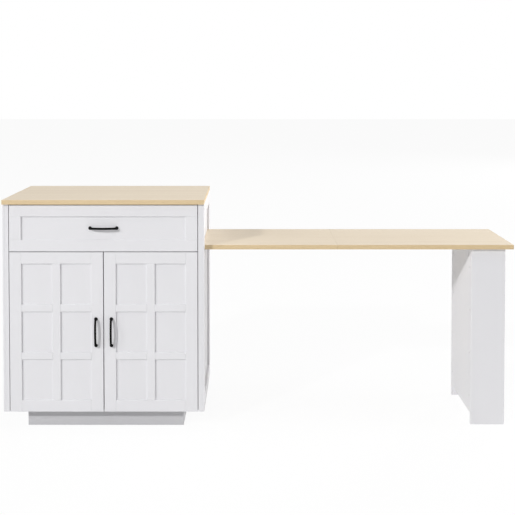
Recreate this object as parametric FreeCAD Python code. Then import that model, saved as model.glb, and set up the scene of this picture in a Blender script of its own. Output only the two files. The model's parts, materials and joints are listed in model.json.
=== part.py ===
import FreeCAD, Part
import os
from math import cos, radians, sin

# Drop leaf kitchen island, in millimetres.
#
# A cabinet with one drawer over a pair of doors stands on a set-back plinth. A long narrow leaf is
# hinged in the recess of the cabinet's right side. The leaf is two boards: the inner one hangs from
# the cabinet, the outer one carries a U-shaped leg near its end. The boards fold face to face
# downwards at the seam between them, and the leg slides upright towards the cabinet.
#
# The drawings below use cabinet coordinates: X to the right from the cabinet's left face, Y to the
# back from the plane of the door fronts, Z up from the floor. Every piece is moved at the end, so
# that the origin is on the floor in the middle of the whole object.

# ---- driving dimensions -------------------------------------------------------------------------

# Cabinet
cabinet_width = 800.0
side_depth = 490.0
overall_height = 920.0
board = 15.0                    # carcass boards, shelf and plinth
back_thickness = 5.0
back_inset = 1.0                # back panel in front of the sides' rear edges
front_clearance = 2.0           # door and drawer fronts to the carcass boards behind them
rail_width = 70.0               # flat rails under the worktop

# Worktop and leaf boards
top_thickness = 18.0
edging = 1.0                    # glued edge strips
worktop_overhang = 10.0         # past the door fronts

# Frames laid on the sides
side_frame = 9.0
side_front_stile = 40.0
side_rear_stile = 48.0
side_top_rail = 52.0
side_bottom_rail = 53.0

# Plinth
plinth_height = 72.0
plinth_front_setback = 50.0
plinth_back_setback = 50.0
plinth_inset = 86.0             # in from each side
plinth_block = 22.0             # square blocks glued in its corners

# Doors and drawer front
front_thickness = 18.0
panel_recess = 6.5
panel_thickness = 6.0
groove_depth = 7.5              # grooves that hold the panels
edge_gap = 2.5                  # fronts to the cabinet sides
meeting_gap = 3.5               # between the doors
drawer_door_gap = 3.0
drawer_top_gap = 3.0
front_stile = 47.0
front_rail = 46.0
upright_bar = 32.0
cross_bar = 28.0
cross_bar_count = 2
arris = 1.2                     # rounding of the front edges
drawer_front_height = 185.0

# Shelf
shelf_height = 388.0            # underside
shelf_side_gap = 0.5
shelf_setback = 24.0
pin_radius = 2.45
pin_length = 18.0
pin_depth = 10.0                # in the side
pin_inset = 45.0                # from the shelf's front and rear edges
pin_row_step = 32.0
pin_row_count = 3

# Knock-down fittings: a cam in one board, its bolt in the other
cam_radius = 7.5
cam_depth = 12.5
cam_bolt_radius = 3.5
cam_bolt_depth = 10.0
cam_distance = 34.0
cam_inset = 60.0                # from the board's front and rear edges

# Nails in the back panel, screws under the worktop
nail_radius = 0.7
nail_head_radius = 1.6
nail_head_height = 0.4
nail_length = 14.0
nail_inset = 40.0               # from the sides
nail_count = 6                  # in each board behind the panel
rail_screw_radius = 2.0
rail_screw_head = 4.0
rail_screw_head_height = 2.0
rail_screw_grip = 12.0          # in the worktop
rail_screw_inset = 90.0         # from the sides
rail_screw_count = 3            # in each rail

# Drawer box and its runners
box_side = 12.0
box_front = 15.0
box_height = 110.0
box_length = 400.0              # behind the inner front
box_lift = 15.0                 # above the divider
box_bottom = 5.0
box_bottom_lift = 10.0
box_groove = 6.0
runner_length = 400.0
runner_width = 12.5             # side to drawer box
runner_setback = 4.0            # behind the drawer front
runner_steel = 1.2
runner_gap = 0.4
runner_height = 45.0
runner_middle_height = 36.0
runner_inner_height = 27.0
runner_screw_inset = 40.0       # from the runner's ends
runner_screw_count = 3
runner_screw_length = 10.0
box_screw_length = 32.0
box_screw_inset = 30.0          # from the box's lower and upper edges

# Handles: arched pulls
handle_spacing = 106.0
handle_reach = 24.5
handle_bar_radius = 4.4
handle_foot_radius = 7.0
handle_bend_radius = 8.0
handle_bow_angle = 14.0         # half of the arch's turn, in degrees
handle_inset = 29.0             # from the door's meeting edge
handle_screw_radius = 1.95
handle_screw_head = 4.0
handle_screw_head_height = 2.5
handle_screw_grip = 6.5         # in the handle's foot

# Door hinges: cups in the doors, arms on the sides
cup_radius = 17.5
cup_wall = 2.0
cup_depth = 12.0
cup_floor = 1.5
cup_distance = 21.5             # cup centre from the door's hinge edge
cup_flange = 1.0
cup_flange_margin = 1.5
cup_ear_width = 14.0
cup_ear_length = 62.0
hinge_inset = 100.0             # hinge centres from the door's ends
hinge_plate_height = 7.0
hinge_plate_width = 50.0
hinge_plate_length = 30.0
hinge_plate_start = 42.0        # behind the door fronts
hinge_arm_height = 8.0
hinge_arm_width = 15.0
hinge_arm_length = 54.0
hinge_arm_setback = 24.0
hinge_neck = 8.0
hinge_tip = 8.0
hinge_seat = 0.3                # arm's tip to the floor of the cup
hinge_screw_radius = 1.75
hinge_screw_head = 3.4
hinge_screw_head_height = 1.6
hinge_screw_grip = 11.0         # in the side or the door
plate_screw_spread = 32.0
cup_screw_spread = 48.0

# Leaf
leaf_length = 1248.0
leaf_drop = 187.0               # worktop's top to leaf's top
leaf_end_gap = 0.5              # to the recessed side panel
leaf_side_gap = 1.0             # to the stiles of the side's frame
leaf_seam = 0.5
leg_distance = 1083.0           # recessed side panel to the leg's upright panel
seam_axis_rise = 0.75           # fold axis of the seam above the top surface

# Fold hinges under the leaf's ends
fold_standoff = 2.5             # pin from the board's underside and from the upright face
flap_thickness = 1.5
flap_width = 40.0
flap_length = 60.0
knuckle_radius = 2.2
fold_pin_radius = 1.1
knuckle_relief = 0.4
knuckle_end_gap = 0.3
leaf_hinge_inset = 60.0         # outer hinge centres from the leaf's long edges
leg_hinge_inset = 60.0          # hinge centres from the leg's boards
leaf_hinge_count = 3
leg_hinge_count = 2
screw_radius = 1.75
screw_head_radius = 3.4
screw_length = 13.0
screw_spread = 36.0
screw_row = 24.0                # from the hinge pin

# Seam hinges, let into the ends of both leaf boards
seam_hinge_count = 3
seam_hinge_length = 60.0
seam_hinge_depth = 22.0
seam_hinge_height = 12.0
seam_hinge_inset = 60.0
seam_mouth_length = 48.0
seam_mouth_depth = 14.0
seam_mouth_height = 8.0

# Leg
leg_board = 16.0
leg_width = 136.0
leg_setback = 15.0              # inside the leaf's long edges
leg_top_gap = 0.3
leg_panel_lift = 45.0           # upright panel above the floor
leg_cam_radius = 5.0
leg_cam_depth = 11.0
leg_cam_distance = 14.0         # from the boards' inner faces
leg_cam_bolt_radius = 3.0
leg_cam_first = 110.0           # lowest cam above the floor
leg_cam_last = 79.7             # highest cam below the leg's top
leg_cam_count = 4

fit = 0.05                      # clearance of pins and screws in their holes

# ---- places worked out from them ----------------------------------------------------------------

side_total = side_frame + board
inner_left = side_total
inner_right = cabinet_width - side_total
underside = overall_height - top_thickness
carcass_front = front_thickness + front_clearance
back_face = side_depth - back_inset - back_thickness
drawer_top = underside - drawer_top_gap
drawer_base = drawer_top - drawer_front_height
door_top = drawer_base - drawer_door_gap
door_base = plinth_height
fronts_left = side_total + edge_gap
fronts_right = cabinet_width - fronts_left
door_width = (fronts_right - fronts_left - meeting_gap) / 2
divider_base = door_top + (drawer_door_gap - board) / 2
divider_top = divider_base + board

recess_face = cabinet_width - side_frame
leaf_height = overall_height - leaf_drop
leaf_left = recess_face + leaf_end_gap
leaf_right = leaf_left + leaf_length
leaf_front = side_front_stile + leaf_side_gap
leaf_back = side_depth - side_rear_stile - leaf_side_gap
leaf_base = leaf_height - top_thickness
fold_axis_height = leaf_base - fold_standoff
leg_face = recess_face + leg_distance
seam_axis_x = (recess_face + leg_face) / 2
leg_front = leaf_front + leg_setback
leg_back = leaf_back - leg_setback
leg_top = leaf_base - leg_top_gap

overall_length = leaf_right
overall_depth = handle_reach + side_depth
origin_shift = FreeCAD.Vector(-overall_length / 2, handle_reach - overall_depth / 2, 0)

ALONG_X = FreeCAD.Vector(1, 0, 0)
ALONG_Y = FreeCAD.Vector(0, 1, 0)
ALONG_Z = FreeCAD.Vector(0, 0, 1)


# ---- shapes that are used again and again --------------------------------------------------------

def block(x0, x1, y0, y1, z0, z1):
    """A board between two corners, given in any order."""
    low = FreeCAD.Vector(min(x0, x1), min(y0, y1), min(z0, z1))
    return Part.makeBox(abs(x1 - x0), abs(y1 - y0), abs(z1 - z0), low)


def rod(radius, start, direction, length):
    """A round pin or hole from a start point."""
    return Part.makeCylinder(radius, length, start, direction)


def point(x, y, z):
    """A place in cabinet coordinates."""
    return FreeCAD.Vector(x, y, z)


def cut_all(shape, tools):
    """Take every tool out of a shape."""
    for tool in tools:
        shape = shape.cut(tool)
    return shape


def headed_screw(radius, head_radius, head_height, start, direction, length):
    """A screw or nail whose head rests on a face at the start point, and its shank goes in from there."""
    shank = rod(radius, start, direction, length)
    return shank.fuse(rod(head_radius, start, direction * -1, head_height)).removeSplitter()


def countersunk(start, direction, length, depth, extra=0.0):
    """A screw whose tapered head fills a plate's depth from the start point, or with extra its hole."""
    head = Part.makeCone(screw_head_radius + extra, screw_radius + extra, depth, start, direction)
    return head.fuse(rod(screw_radius + extra, start, direction, length + extra)).removeSplitter()


def spread(first, last, count):
    """Evenly spaced places from first to last."""
    if count < 2:
        return [(first + last) / 2]
    return [first + (last - first) * i / (count - 1) for i in range(count)]


def edges_in_plane(shape, axis, value):
    """The edges that lie whole in the plane where a coordinate has one value."""
    return [
        edge for edge in shape.Edges
        if all(abs(getattr(vertex.Point, axis) - value) < 1e-3 for vertex in edge.Vertexes)
    ]


def ease_front(shape, front=0.0):
    """Round the arrises of a piece's front face."""
    return shape.makeFillet(arris, edges_in_plane(shape, "y", front))


# ---- worktop and leaf boards ---------------------------------------------------------------------

def edged_board(x0, x1, y0, y1, z0, strip_left, strip_right):
    """A laminated board and the strips glued to its edges. An end without a strip stays bare."""
    z1 = z0 + top_thickness
    core_left = x0 + edging if strip_left else x0
    core_right = x1 - edging if strip_right else x1
    core = block(core_left, core_right, y0 + edging, y1 - edging, z0, z1)
    strips = [
        block(x0, x1, y0, y0 + edging, z0, z1),
        block(x0, x1, y1 - edging, y1, z0, z1),
    ]
    if strip_left:
        strips.append(block(x0, core_left, y0 + edging, y1 - edging, z0, z1))
    if strip_right:
        strips.append(block(core_right, x1, y0 + edging, y1 - edging, z0, z1))
    return core, strips


# ---- cabinet ------------------------------------------------------------------------------------

def side_pieces(outer_x, inward):
    """One side: the board and the four strips of the frame laid on its outside."""
    face = outer_x + inward * side_frame
    panel = block(face, face + inward * board, 0, side_depth, plinth_height, underside)
    rear = side_depth - side_rear_stile
    frame = [
        block(outer_x, face, 0, side_front_stile, plinth_height, underside),
        block(outer_x, face, rear, side_depth, plinth_height, underside),
        block(outer_x, face, side_front_stile, rear, underside - side_top_rail, underside),
        block(outer_x, face, side_front_stile, rear, plinth_height, plinth_height + side_bottom_rail),
    ]
    return panel, frame


def carcass_board(z0):
    """A full-width board between the sides."""
    return block(inner_left, inner_right, carcass_front, back_face, z0, z0 + board)


def cam_joint(side_face, inward, y, board_base):
    """A cam let into a board's underside with its bolt in the side, and the holes for both."""
    cam_x = side_face + inward * cam_distance
    cam = rod(cam_radius, point(cam_x, y, board_base), ALONG_Z, cam_depth)
    cam_hole = rod(cam_radius + fit, point(cam_x, y, board_base), ALONG_Z, cam_depth + fit)
    start = point(side_face - inward * cam_bolt_depth, y, board_base + board / 2)
    length = cam_bolt_depth + cam_distance - cam_radius - fit
    bolt = rod(cam_bolt_radius, start, ALONG_X * inward, length)
    bolt_hole = rod(cam_bolt_radius + fit, start, ALONG_X * inward, length + fit)
    return [cam, bolt], [cam_hole, bolt_hole]


def cam_joints():
    """The fittings of the bottom and the divider, and their holes."""
    fittings = []
    holes = []
    for base in (plinth_height, divider_base):
        for side_face, inward in ((inner_left, 1), (inner_right, -1)):
            for y in (carcass_front + cam_inset, back_face - cam_inset):
                pieces, cuts = cam_joint(side_face, inward, y, base)
                fittings += pieces
                holes += cuts
    return fittings, holes


def plinth():
    """Front and back boards with the ends between them, and a block glued in each corner."""
    x0 = plinth_inset
    x1 = cabinet_width - plinth_inset
    y0 = plinth_front_setback
    y1 = side_depth - plinth_back_setback
    pieces = [
        block(x0, x1, y0, y0 + board, 0, plinth_height),
        block(x0, x1, y1 - board, y1, 0, plinth_height),
        block(x0, x0 + board, y0 + board, y1 - board, 0, plinth_height),
        block(x1 - board, x1, y0 + board, y1 - board, 0, plinth_height),
    ]
    for corner_x, inward_x in ((x0 + board, plinth_block), (x1 - board, -plinth_block)):
        for corner_y, inward_y in ((y0 + board, plinth_block), (y1 - board, -plinth_block)):
            pieces.append(block(corner_x, corner_x + inward_x, corner_y, corner_y + inward_y,
                                0, plinth_height))
    return pieces


def shelf_and_pins():
    """The shelf, the pins that it lies on and the rows of holes in the sides."""
    shelf_back = back_face - front_clearance
    shelf = block(inner_left + shelf_side_gap, inner_right - shelf_side_gap,
                  shelf_setback, shelf_back, shelf_height, shelf_height + board)
    pin_z = shelf_height - pin_radius - fit
    row = [pin_z + pin_row_step * (i - (pin_row_count - 1) / 2) for i in range(pin_row_count)]
    pins = []
    holes = []
    for side_face, inward in ((inner_left, 1), (inner_right, -1)):
        for y in (shelf_setback + pin_inset, shelf_back - pin_inset):
            start_x = side_face - inward * pin_depth
            pins.append(rod(pin_radius, point(start_x, y, pin_z), ALONG_X * inward, pin_length))
            for z in row:
                holes.append(rod(pin_radius + fit, point(start_x, y, z), ALONG_X * inward, pin_depth))
    return shelf, pins, holes


def top_rails():
    """The flat rails that carry the worktop."""
    z0 = underside - board
    return [
        block(inner_left, inner_right, carcass_front, carcass_front + rail_width, z0, underside),
        block(inner_left, inner_right, back_face - rail_width, back_face, z0, underside),
    ]


def rail_screws():
    """The screws that hold the worktop down on its rails, and their holes."""
    screws = []
    holes = []
    z = underside - board
    reach = board + rail_screw_grip
    places_x = spread(inner_left + rail_screw_inset, inner_right - rail_screw_inset, rail_screw_count)
    for y in (carcass_front + rail_width / 2, back_face - rail_width / 2):
        for x in places_x:
            start = point(x, y, z)
            screws.append(headed_screw(rail_screw_radius, rail_screw_head, rail_screw_head_height,
                                       start, ALONG_Z, reach))
            holes.append(rod(rail_screw_radius + fit, start, ALONG_Z, reach + fit))
    return screws, holes


def back_nails():
    """The nails that hold the back panel on the boards' rear edges, and their holes."""
    nails = []
    holes = []
    back_y = back_face + back_thickness
    for base in (plinth_height, divider_base, underside - board):
        for x in spread(inner_left + nail_inset, inner_right - nail_inset, nail_count):
            start = point(x, back_y, base + board / 2)
            nails.append(headed_screw(nail_radius, nail_head_radius, nail_head_height,
                                      start, -ALONG_Y, nail_length))
            holes.append(rod(nail_radius + fit, start, -ALONG_Y, nail_length + fit))
    return nails, holes


# ---- framed fronts ------------------------------------------------------------------------------

def grooved(piece, x0, x1, z0, z1):
    """Cut the groove for a panel that spans these edges into a frame piece."""
    y0 = panel_recess - fit
    y1 = panel_recess + panel_thickness + fit
    return piece.cut(block(x0 - fit, x1 + fit, y0, y1, z0 - fit, z1 + fit))


def framed_panel(x0, x1, z0, z1):
    """The panel of a front: it fills the frame's opening and its grooves."""
    span = (x0 - groove_depth, x1 + groove_depth, z0 - groove_depth, z1 + groove_depth)
    y1 = panel_recess + panel_thickness
    panel = block(span[0], span[1], panel_recess, y1, span[2], span[3])
    return panel, span


def door(hinge_x, toward):
    """One door from its hinge edge towards the other door."""
    meeting_x = hinge_x + toward * door_width
    x0, x1 = sorted((hinge_x, meeting_x))
    left = x0 + front_stile
    right = x1 - front_stile
    low = door_base + front_rail
    high = door_top - front_rail
    panel, span = framed_panel(left, right, low, high)
    stiles = [
        block(x0, left, 0, front_thickness, door_base, door_top),
        block(right, x1, 0, front_thickness, door_base, door_top),
    ]
    rails = [
        block(left, right, 0, front_thickness, door_base, low),
        block(left, right, 0, front_thickness, high, door_top),
    ]
    stiles = [ease_front(grooved(piece, *span)) for piece in stiles]
    rails = [ease_front(grooved(piece, *span)) for piece in rails]
    middle = (left + right) / 2
    bar_left = middle - upright_bar / 2
    bar_right = middle + upright_bar / 2
    bars = [block(bar_left, bar_right, 0, panel_recess, low, high)]
    pane = (high - low - cross_bar_count * cross_bar) / (cross_bar_count + 1)
    for i in range(cross_bar_count):
        z = low + pane + i * (pane + cross_bar)
        bars.append(block(left, bar_left, 0, panel_recess, z, z + cross_bar))
        bars.append(block(bar_right, right, 0, panel_recess, z, z + cross_bar))
    bars = [ease_front(piece) for piece in bars]
    return {"stiles": stiles, "rails": rails, "panel": [panel], "bars": bars}


def drawer_front():
    """The drawer's front: rails the full width with stiles between them."""
    left = fronts_left + front_stile
    right = fronts_right - front_stile
    low = drawer_base + front_rail
    high = drawer_top - front_rail
    panel, span = framed_panel(left, right, low, high)
    rails = [
        block(fronts_left, fronts_right, 0, front_thickness, drawer_base, low),
        block(fronts_left, fronts_right, 0, front_thickness, high, drawer_top),
    ]
    stiles = [
        block(fronts_left, left, 0, front_thickness, low, high),
        block(right, fronts_right, 0, front_thickness, low, high),
    ]
    rails = [ease_front(grooved(piece, *span)) for piece in rails]
    stiles = [ease_front(grooved(piece, *span)) for piece in stiles]
    return rails, stiles, panel, (low + high) / 2


# ---- handles ------------------------------------------------------------------------------------

def arched_handle(centre, along, surface):
    """An arched pull: a round bar that rises from two tapered feet and bows out between them.

    It stands on the plane y = surface, with its length along a unit vector. The bar's path is a
    straight rise, a bend, a long arc and the same again backwards, each tangent to the next.
    """
    bow = radians(handle_bow_angle)
    half = handle_spacing / 2
    bend_run = handle_bend_radius * (1 - sin(bow))
    bend_rise = handle_bend_radius * cos(bow)
    arch_radius = (half - bend_run) / sin(bow)
    crest = handle_reach - handle_bar_radius
    shoulder = crest - arch_radius * (1 - cos(bow))
    rise = shoulder - bend_rise

    def place(run, out):
        """A point of the path: run along the handle, out from the surface."""
        return point(centre[0], surface - out, centre[1]) + along * run

    def bend_middle(side):
        """The middle of a bend's arc, which turns from square to the surface to the arch."""
        turn = (radians(90) - bow) / 2
        run = half - handle_bend_radius * (1 - cos(turn))
        return place(side * run, rise + handle_bend_radius * sin(turn))

    left_start = place(-half + bend_run, shoulder)
    right_start = place(half - bend_run, shoulder)
    path = Part.Wire([
        Part.LineSegment(place(-half, 0), place(-half, rise)).toShape(),
        Part.Arc(place(-half, rise), bend_middle(-1), left_start).toShape(),
        Part.Arc(left_start, place(0, crest), right_start).toShape(),
        Part.Arc(right_start, bend_middle(1), place(half, rise)).toShape(),
        Part.LineSegment(place(half, rise), place(half, 0)).toShape(),
    ])
    section = Part.Wire(Part.makeCircle(handle_bar_radius, place(-half, 0), ALONG_Y))
    handle = path.makePipeShell([section], True, False)
    for side in (-1, 1):
        foot = Part.makeCone(handle_foot_radius, handle_bar_radius, rise, place(side * half, 0), -ALONG_Y)
        handle = handle.fuse(foot)
    handle = handle.removeSplitter()
    for side in (-1, 1):
        hole = rod(handle_screw_radius + fit, place(side * half, 0), -ALONG_Y, handle_screw_grip + fit)
        handle = handle.cut(hole)
    return handle


def handle_screws(centre, along, surface, inside):
    """The two screws of a handle, with their heads on the inner face, and the holes for them."""
    screws = []
    holes = []
    for side in (-1, 1):
        start = point(centre[0], inside, centre[1]) + along * (side * handle_spacing / 2)
        length = inside - surface + handle_screw_grip
        screws.append(headed_screw(handle_screw_radius, handle_screw_head, handle_screw_head_height,
                                   start, -ALONG_Y, length))
        holes.append(rod(handle_screw_radius + fit, start, -ALONG_Y, inside - surface))
    return screws, holes


# ---- door hinges --------------------------------------------------------------------------------

def hinge_cup(hinge_x, toward, z):
    """A hinge cup with its flange on the door's inner face, its two screws, and the holes for them."""
    x = hinge_x + toward * cup_distance
    floor_y = front_thickness - cup_depth
    cup = rod(cup_radius, point(x, floor_y, z), ALONG_Y, cup_depth)
    rim = rod(cup_radius + cup_flange_margin, point(x, front_thickness, z), ALONG_Y, cup_flange)
    ears = block(x - cup_ear_width / 2, x + cup_ear_width / 2, front_thickness,
                 front_thickness + cup_flange, z - cup_ear_length / 2, z + cup_ear_length / 2)
    start = point(x, floor_y + cup_floor, z)
    hollow = rod(cup_radius - cup_wall, start, ALONG_Y, cup_depth + cup_flange)
    cup = cup.fuse([rim, ears]).removeSplitter().cut(hollow)
    holes = [rod(cup_radius + fit, point(x, floor_y - fit, z), ALONG_Y, cup_depth + fit)]
    screws = []
    for offset in (-cup_screw_spread / 2, cup_screw_spread / 2):
        start = point(x, front_thickness + cup_flange, z + offset)
        length = cup_flange + hinge_screw_grip
        screws.append(headed_screw(hinge_screw_radius, hinge_screw_head, hinge_screw_head_height,
                                   start, -ALONG_Y, length))
        holes.append(rod(hinge_screw_radius + fit, start, -ALONG_Y, length + fit))
    return cut_all(cup, holes[1:]), screws, holes


def hinge_arm(hinge_x, toward, side_face, z):
    """A hinge's plate on the side with its two screws, and the cranked arm that ends in the cup."""
    plate_top = side_face + toward * hinge_plate_height
    plate_end = hinge_plate_start + hinge_plate_length
    plate = block(side_face, plate_top, hinge_plate_start, plate_end,
                  z - hinge_plate_width / 2, z + hinge_plate_width / 2)
    z0 = z - hinge_arm_width / 2
    z1 = z + hinge_arm_width / 2
    arm_top = plate_top + toward * hinge_arm_height
    arm_end = hinge_arm_setback + hinge_arm_length
    tip_outer = hinge_x + toward * (cup_distance + hinge_tip)
    tip_inner = tip_outer - toward * hinge_tip
    tip_y = front_thickness - cup_depth + cup_floor + hinge_seat
    neck_end = hinge_arm_setback + hinge_neck
    screws = []
    holes = []
    for offset in (-plate_screw_spread / 2, plate_screw_spread / 2):
        start = point(plate_top, hinge_plate_start + hinge_plate_length / 2, z + offset)
        length = hinge_plate_height + hinge_screw_grip
        screws.append(headed_screw(hinge_screw_radius, hinge_screw_head, hinge_screw_head_height,
                                   start, ALONG_X * -toward, length))
        holes.append(rod(hinge_screw_radius + fit, start, ALONG_X * -toward, length + fit))
    plate = cut_all(plate, holes)
    arm = block(plate_top, arm_top, hinge_arm_setback, arm_end, z0, z1)
    neck = block(plate_top, tip_outer, hinge_arm_setback, neck_end, z0, z1)
    tip = block(tip_inner, tip_outer, tip_y, neck_end, z0, z1)
    return plate, arm.fuse([neck, tip]).removeSplitter(), screws, holes


def door_hinges(hinge_x, toward, side_face):
    """Both hinges of one door, gathered by what their pieces are."""
    keys = ("cups", "cup_screws", "cup_holes", "plates", "arms", "plate_screws", "plate_holes")
    gathered = {key: [] for key in keys}
    for z in (door_base + hinge_inset, door_top - hinge_inset):
        cup, cup_screws, cup_holes = hinge_cup(hinge_x, toward, z)
        plate, arm, plate_screws, plate_holes = hinge_arm(hinge_x, toward, side_face, z)
        gathered["cups"].append(cup)
        gathered["cup_screws"] += cup_screws
        gathered["cup_holes"] += cup_holes
        gathered["plates"].append(plate)
        gathered["arms"].append(arm)
        gathered["plate_screws"] += plate_screws
        gathered["plate_holes"] += plate_holes
    return gathered


# ---- drawer box and runners ---------------------------------------------------------------------

def drawer_box():
    """The drawer's box: inner front, sides, back, a bottom held in grooves, and its corner screws."""
    x0 = inner_left + runner_width
    x1 = inner_right - runner_width
    y0 = front_thickness
    y1 = y0 + box_front
    y2 = y1 + box_length
    z0 = divider_top + box_lift
    z1 = z0 + box_height
    floor_z = z0 + box_bottom_lift
    floor_top = floor_z + box_bottom
    bottom = block(x0 + box_side - box_groove, x1 - box_side + box_groove,
                   y1 - box_groove, y2, floor_z, floor_top)
    groove = block(x0 + box_side - box_groove - fit, x1 - box_side + box_groove + fit,
                   y1 - box_groove - fit, y2, floor_z - fit, floor_top + fit)
    inner_front = block(x0, x1, y0, y1, z0, z1).cut(groove)
    sides = [
        block(x0, x0 + box_side, y1, y2, z0, z1).cut(groove),
        block(x1 - box_side, x1, y1, y2, z0, z1).cut(groove),
    ]
    back = block(x0 + box_side, x1 - box_side, y2 - box_side, y2, floor_top + fit, z1)
    screws = []
    holes = []
    for side_x, inward in ((x0, 1), (x1, -1)):
        for z in (z0 + box_screw_inset, z1 - box_screw_inset):
            front_start = point(side_x + inward * box_side / 2, y0, z)
            rear_start = point(side_x, y2 - box_side / 2, z)
            for start, direction in ((front_start, ALONG_Y), (rear_start, ALONG_X * inward)):
                screws.append(countersunk(start, direction, box_screw_length, flap_thickness))
                holes.append(countersunk(start, direction, box_screw_length, flap_thickness, fit))
    inner_front = cut_all(inner_front, holes)
    sides = [cut_all(side, holes) for side in sides]
    return inner_front, sides, cut_all(back, holes), bottom, screws


def channel(web_x, open_x, height, z, toward):
    """A runner member: an upright web with a flange along its top and bottom edges."""
    y0 = front_thickness + runner_setback
    y1 = y0 + runner_length
    outline = block(web_x, open_x, y0, y1, z - height / 2, z + height / 2)
    inside = height / 2 - runner_steel
    hollow = block(web_x + toward * runner_steel, open_x, y0, y1, z - inside, z + inside)
    return outline.cut(hollow)


def runner_pieces(side_face, toward):
    """The three members of one runner, on the side, between, and on the drawer box, and its screws."""
    z = divider_top + box_lift + box_height / 2
    box_face = side_face + toward * runner_width
    middle_web = side_face + toward * (runner_steel + runner_gap)
    inner_open = middle_web + toward * (runner_steel + runner_gap)
    reach = box_face - toward * (runner_steel + runner_gap)
    fixed = channel(side_face, reach, runner_height, z, toward)
    middle = channel(middle_web, reach, runner_middle_height, z, toward)
    moving = channel(box_face, inner_open, runner_inner_height, z, -toward)
    pieces = {"middle": middle}
    first = front_thickness + runner_setback + runner_screw_inset
    last = first + runner_length - 2 * runner_screw_inset
    for key, member, web, inward in (("side", fixed, side_face, toward), ("box", moving, box_face, -toward)):
        screws = []
        holes = []
        for y in spread(first, last, runner_screw_count):
            start = point(web + inward * runner_steel, y, z)
            direction = ALONG_X * -inward
            screws.append(countersunk(start, direction, runner_screw_length, runner_steel))
            holes.append(countersunk(start, direction, runner_screw_length, runner_steel, fit))
        pieces[key + "_member"] = cut_all(member, holes)
        pieces[key + "_screws"] = screws
        pieces[key + "_holes"] = holes
    return pieces


# ---- leaf and leg -------------------------------------------------------------------------------

def fold_hinge(upright_x, toward, y):
    """One fold hinge: a flap on an upright face, a flap under the leaf, a pin and the screws.

    The middle knuckle is part of the upright flap, the outer two of the leaf's flap.
    """
    axis_x = upright_x + toward * fold_standoff
    axis_z = fold_axis_height
    third = flap_length / 3
    y0 = y - flap_length / 2
    y1 = y + flap_length / 2
    middle = (y - third / 2, y + third / 2)
    outer = [(y0, middle[0] - knuckle_end_gap), (middle[1] + knuckle_end_gap, y1)]

    def barrel(span, radius):
        """A cylinder about the hinge pin over a stretch of its length."""
        return rod(radius, point(axis_x, span[0], axis_z), ALONG_Y, span[1] - span[0])

    relief = knuckle_radius + knuckle_relief
    bore = barrel((y0, y1), fold_pin_radius + fit)
    upright = block(upright_x, upright_x + toward * flap_thickness, y0, y1,
                    axis_z - flap_width, axis_z)
    for span in ((y0, middle[0]), (middle[1], y1)):
        upright = upright.cut(barrel(span, relief))
    upright = upright.fuse(barrel(middle, knuckle_radius)).cut(bore)
    under = block(axis_x, axis_x + toward * flap_width, y0, y1, leaf_base - flap_thickness, leaf_base)
    under = under.cut(barrel((middle[0] - knuckle_end_gap, middle[1] + knuckle_end_gap), relief))
    under = under.fuse([barrel(span, knuckle_radius) for span in outer]).cut(bore)
    pin = barrel((y0, y1), fold_pin_radius)

    upright_screws = []
    upright_holes = []
    under_screws = []
    under_holes = []
    for offset in (-screw_spread / 2, screw_spread / 2):
        start = point(upright_x + toward * flap_thickness, y + offset, axis_z - screw_row)
        upright_screws.append(countersunk(start, ALONG_X * -toward, screw_length, flap_thickness))
        upright_holes.append(countersunk(start, ALONG_X * -toward, screw_length, flap_thickness, fit))
        start = point(axis_x + toward * screw_row, y + offset, leaf_base - flap_thickness)
        under_screws.append(countersunk(start, ALONG_Z, screw_length, flap_thickness))
        under_holes.append(countersunk(start, ALONG_Z, screw_length, flap_thickness, fit))
    return {
        "upright": [cut_all(upright, upright_holes)] + upright_screws,
        "under": [cut_all(under, under_holes)] + under_screws,
        "pin": pin,
        "upright_holes": upright_holes,
        "under_holes": under_holes,
    }


def fold_hinges(upright_x, toward, places):
    """The fold hinges along one end of the leaf, gathered by what carries each piece."""
    hinges = [fold_hinge(upright_x, toward, y) for y in places]
    gathered = {key: [] for key in ("upright", "under", "pin", "upright_holes", "under_holes")}
    for hinge in hinges:
        gathered["upright"] += hinge["upright"]
        gathered["under"] += hinge["under"]
        gathered["pin"].append(hinge["pin"])
        gathered["upright_holes"] += hinge["upright_holes"]
        gathered["under_holes"] += hinge["under_holes"]
    return gathered


def seam_hinges(end_x, inward):
    """The hinge bodies let into one board's end at the seam, and the pockets for them."""
    middle_z = leaf_base + top_thickness / 2
    bodies = []
    pockets = []
    for y in spread(leaf_front + seam_hinge_inset, leaf_back - seam_hinge_inset, seam_hinge_count):
        body = block(end_x, end_x + inward * seam_hinge_depth,
                     y - seam_hinge_length / 2, y + seam_hinge_length / 2,
                     middle_z - seam_hinge_height / 2, middle_z + seam_hinge_height / 2)
        mouth = block(end_x, end_x + inward * seam_mouth_depth,
                      y - seam_mouth_length / 2, y + seam_mouth_length / 2,
                      middle_z - seam_mouth_height / 2, middle_z + seam_mouth_height / 2)
        pockets.append(body)
        bodies.append(body.cut(mouth))
    return bodies, pockets


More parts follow.
